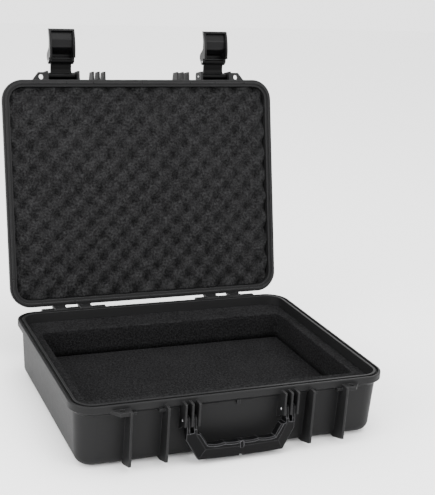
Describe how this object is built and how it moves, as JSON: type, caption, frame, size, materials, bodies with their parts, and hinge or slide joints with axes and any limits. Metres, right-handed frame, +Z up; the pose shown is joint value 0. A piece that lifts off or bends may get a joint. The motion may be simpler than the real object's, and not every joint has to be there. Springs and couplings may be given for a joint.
{
  "type": "laptop hard case",
  "caption": "Moulded carrying case with a foam-lined laptop bay, a hinged lid with pull-down latches and a folding handle.",
  "frame": {"origin": "middle of the base shell's underside; the feet reach 1.6 mm below it", "axes": "+Z up, +Y from the latches and handle to the hinges, +X to the right seen from the front; the lid stands open at rest"},
  "size_m": [0.46, 0.517, 0.5195],
  "materials": {
    "shell": "fine moulded grain, satin",
    "latches": "smooth and glossy",
    "handle": "satin",
    "foam": "open-cell foam",
    "seal": "matte",
    "feet": "matte",
    "pins": "drawn steel"
  },
  "bodies": {
    "base": {"base_shell": "shell", "seal_gasket": "seal", "foot_front_left": "feet", "foot_front_right": "feet", "foot_back_left": "feet", "foot_back_right": "feet", "base_foam_pad": "foam", "base_foam_frame": "foam", "hinge_pin_left": "pins", "hinge_pin_right": "pins", "handle_pin_left": "pins", "handle_pin_right": "pins"},
    "lid": {"lid_shell": "shell", "lid_foam": "foam", "latch_pin_left": "pins", "latch_pin_right": "pins"},
    "handle": {"handle": "handle"},
    "link_left": {"latch_link_left": "latches", "link_pin_left": "pins"},
    "lever_left": {"latch_lever_left": "latches"},
    "link_right": {"latch_link_right": "latches", "link_pin_right": "pins"},
    "lever_right": {"latch_lever_right": "latches"}
  },
  "joints": [
    {"name": "lid_hinge", "type": "hinge", "parent": "base", "child": "lid", "pos_m": [0, 0.1879, 0.0852], "axis": [-1, 0, 0], "range_deg": [-103.4, 0]},
    {"name": "latch_left_swing", "type": "hinge", "parent": "lid", "child": "link_left", "pos_m": [-0.131, 0.29476, 0.444], "axis": [-1, 0, 0], "range_deg": [-78, 0]},
    {"name": "latch_left_lever", "type": "hinge", "parent": "link_left", "child": "lever_left", "pos_m": [-0.131, 0.29785, 0.46793], "axis": [-1, 0, 0], "range_deg": [0, 85]},
    {"name": "latch_right_swing", "type": "hinge", "parent": "lid", "child": "link_right", "pos_m": [0.131, 0.29476, 0.444], "axis": [-1, 0, 0], "range_deg": [-78, 0]},
    {"name": "latch_right_lever", "type": "hinge", "parent": "link_right", "child": "lever_right", "pos_m": [0.131, 0.29785, 0.46793], "axis": [-1, 0, 0], "range_deg": [0, 85]},
    {"name": "handle_fold", "type": "hinge", "parent": "base", "child": "handle", "pos_m": [0, -0.1837, 0.062], "axis": [-1, 0, 0], "range_deg": [-8, 112]}
  ]
}
